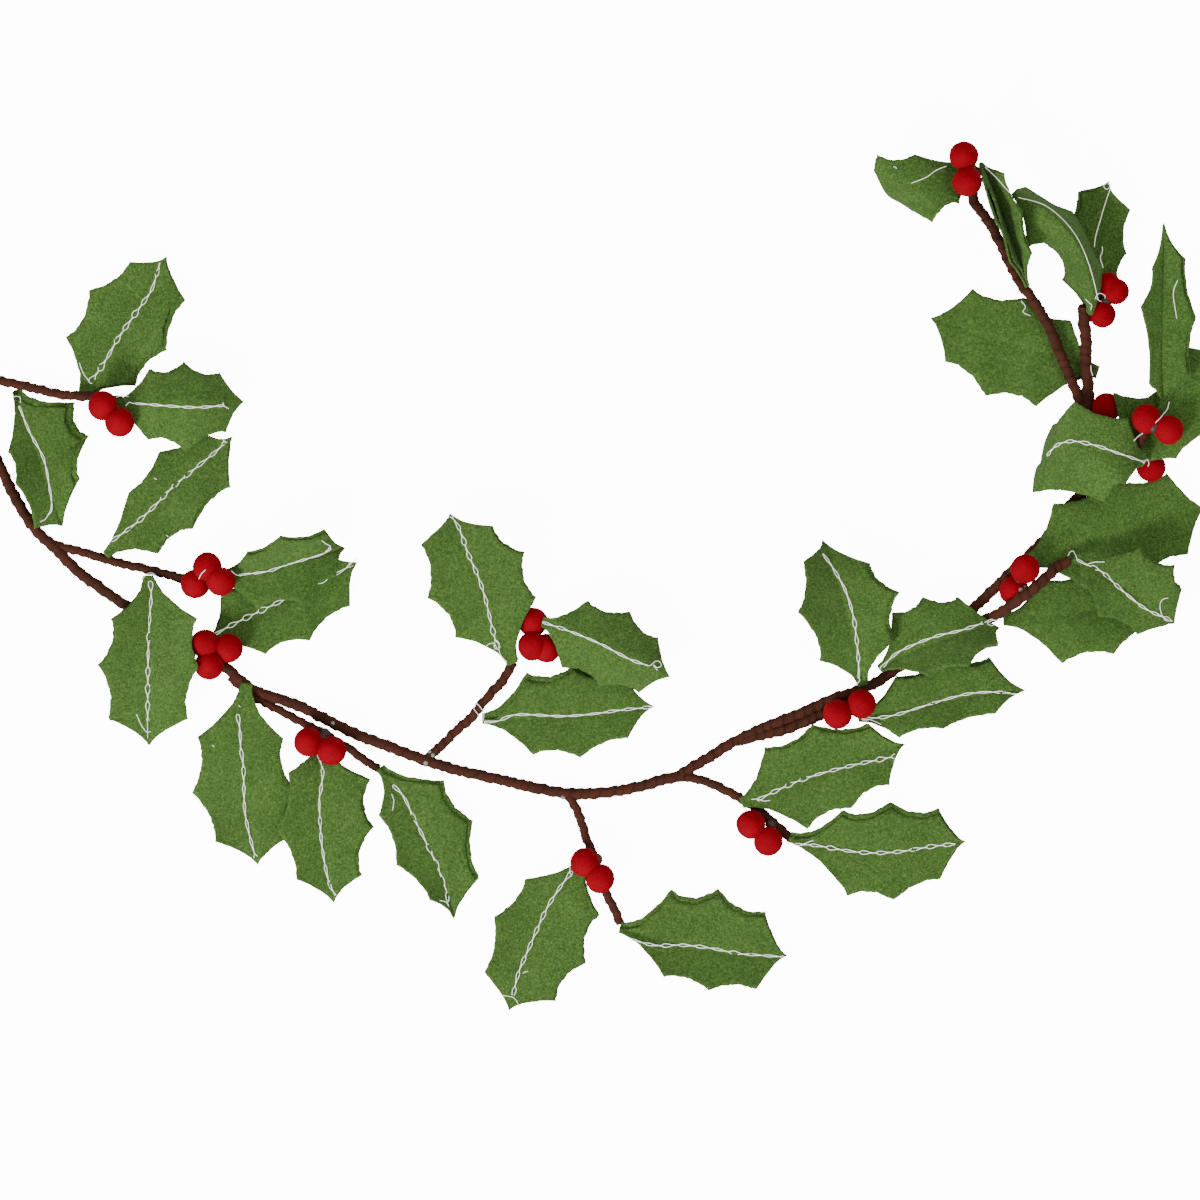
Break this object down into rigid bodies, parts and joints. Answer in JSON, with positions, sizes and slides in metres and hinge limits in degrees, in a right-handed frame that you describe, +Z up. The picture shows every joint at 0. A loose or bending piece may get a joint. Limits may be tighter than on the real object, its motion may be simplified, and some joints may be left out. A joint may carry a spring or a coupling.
{
  "type": "felt holly garland",
  "caption": "Holly garland of stitched double felt leaves and felt ball berries on a curved wrapped-wire stem, laid out flat as a shallow swag with side sprays.",
  "frame": {"origin": "on the flat underside of the main stem, at the lowest point of the swag", "axes": "+X runs along the swag to the right as seen from above, +Y away from the viewer to the swag's open side, +Z up off the surface it lies on"},
  "size_m": [0.6603, 0.4331, 0.0404],
  "materials": {
    "wrapped_stem": "matte wound tape",
    "green_felt": "matte wool felt",
    "red_felt": "matte wool felt",
    "silver_thread": "soft sheen thread"
  },
  "bodies": {
    "root": {"main_left": "wrapped_stem", "main_middle": "wrapped_stem", "branch_a": "wrapped_stem", "branch_b": "wrapped_stem", "branch_d": "wrapped_stem", "branch_e": "wrapped_stem", "branch_f": "wrapped_stem", "branch_g": "wrapped_stem", "branch_i": "wrapped_stem", "branch_h": "wrapped_stem", "branch_j": "wrapped_stem", "branch_n": "wrapped_stem", "branch_m": "wrapped_stem", "branch_o": "wrapped_stem", "leaf_a1": "green_felt", "leaf_a2": "green_felt", "leaf_a3": "green_felt", "leaf_b1": "green_felt", "leaf_b2": "green_felt", "leaf_b3": "green_felt", "leaf_c1": "green_felt", "leaf_c2": "green_felt", "leaf_d1": "green_felt", "leaf_d2": "green_felt", "leaf_e1": "green_felt", "leaf_e2": "green_felt", "leaf_e3": "green_felt", "leaf_f1": "green_felt", "leaf_f2": "green_felt", "leaf_g1": "green_felt", "leaf_g2": "green_felt", "leaf_h1": "green_felt", "leaf_h2": "green_felt", "leaf_h3": "green_felt", "leaf_j1": "green_felt", "leaf_j2": "green_felt", "leaf_k1": "green_felt", "leaf_k2": "green_felt", "leaf_m1": "green_felt", "leaf_o1": "green_felt", "leaf_o2": "green_felt", "leaf_n1": "green_felt", "leaf_n2": "green_felt", "leaf_m2": "green_felt", "leaf_m3": "green_felt", "berries_a": "red_felt", "berries_b": "red_felt", "berries_c": "red_felt", "berries_d": "red_felt", "berries_e": "red_felt", "berries_f": "red_felt", "berries_g": "red_felt", "berries_h": "red_felt", "berries_j": "red_felt", "berries_k": "red_felt", "berries_o": "red_felt", "berries_p": "red_felt", "berries_n": "red_felt", "berries_m": "red_felt"}
  },
  "joints": []
}
